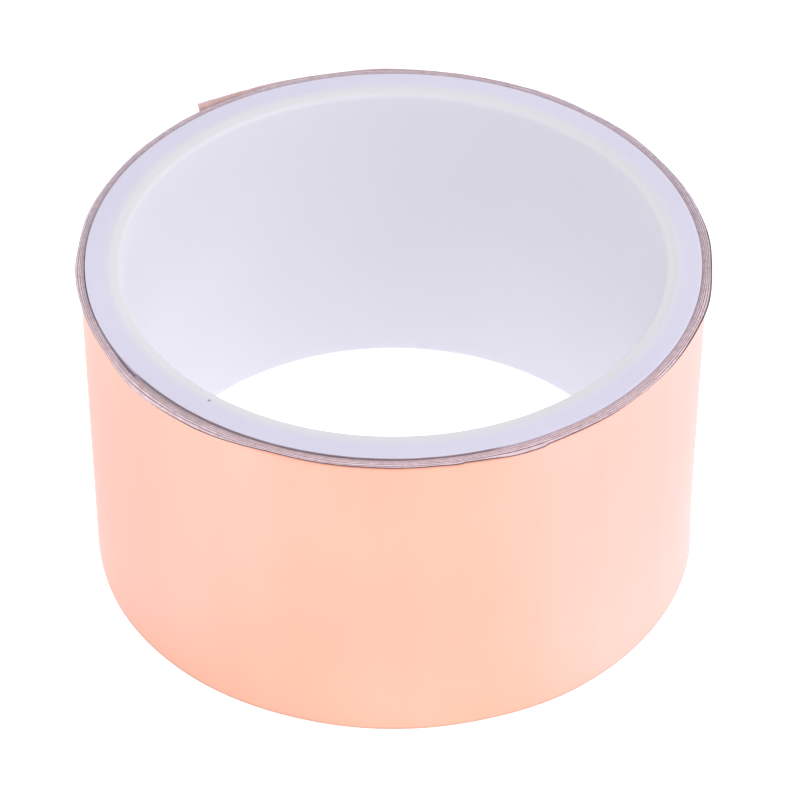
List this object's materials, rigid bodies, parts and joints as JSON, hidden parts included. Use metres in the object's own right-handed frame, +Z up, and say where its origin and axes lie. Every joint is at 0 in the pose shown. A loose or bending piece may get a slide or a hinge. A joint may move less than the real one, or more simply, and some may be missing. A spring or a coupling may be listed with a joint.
{
  "type": "copper foil tape roll",
  "caption": "Roll of wide copper foil tape with release liner, wound on a white plastic core; the free end stands off the roll, lifts, and peels from its liner.",
  "frame": {"origin": "where the bore's axis meets the flat end that the roll stands on", "axes": "+Z up along the bore's axis; the tape's free end lies at the back left, between -X and +Y, and the front is -Y"},
  "size_m": [0.0884, 0.0885, 0.0503],
  "materials": {
    "core_plastic": "white, satin, slightly translucent",
    "copper_foil": "bright rolled copper, satin",
    "adhesive": "clear acrylic adhesive, tacky",
    "liner": "smooth white silicone-coated paper",
    "starter_tab": "double-sided tab, matt"
  },
  "bodies": {
    "roll": {"core_tube": "core_plastic", "starter_tab": "starter_tab", "wound_liner": "liner", "wound_adhesive": "adhesive", "wound_foil": "copper_foil"},
    "free_end_1": {"liner_end_1": "liner", "adhesive_end_1": "adhesive", "foil_end_1": "copper_foil"},
    "free_end_2": {"liner_end_2": "liner", "adhesive_end_2": "adhesive", "foil_end_2": "copper_foil"},
    "free_end_3": {"liner_end_3": "liner", "adhesive_end_3": "adhesive", "foil_end_3": "copper_foil"},
    "peeled_tip": {"adhesive_tip": "adhesive", "foil_tip": "copper_foil"}
  },
  "joints": [
    {"name": "free_end_lift", "type": "hinge", "parent": "roll", "child": "free_end_1", "pos_m": [0.00767, 0.04362, 0.025], "axis": [0, 0, -1], "range_deg": [0, 30]},
    {"name": "free_end_lift_2", "type": "hinge", "parent": "free_end_1", "child": "free_end_2", "pos_m": [-0.00284, 0.0442, 0.025], "axis": [0, 0, -1], "range_deg": [0, 30]},
    {"name": "free_end_lift_3", "type": "hinge", "parent": "free_end_2", "child": "free_end_3", "pos_m": [-0.0132, 0.04229, 0.025], "axis": [0, 0, -1], "range_deg": [0, 30]},
    {"name": "foil_peel", "type": "hinge", "parent": "free_end_3", "child": "peeled_tip", "pos_m": [-0.02117, 0.03932, 0.025], "axis": [0, 0, -1], "range_deg": [0, 60]}
  ],
  "couplings": [
    {"joint": "free_end_lift_2", "follows": "free_end_lift", "ratio": 1},
    {"joint": "free_end_lift_3", "follows": "free_end_lift", "ratio": 1}
  ]
}
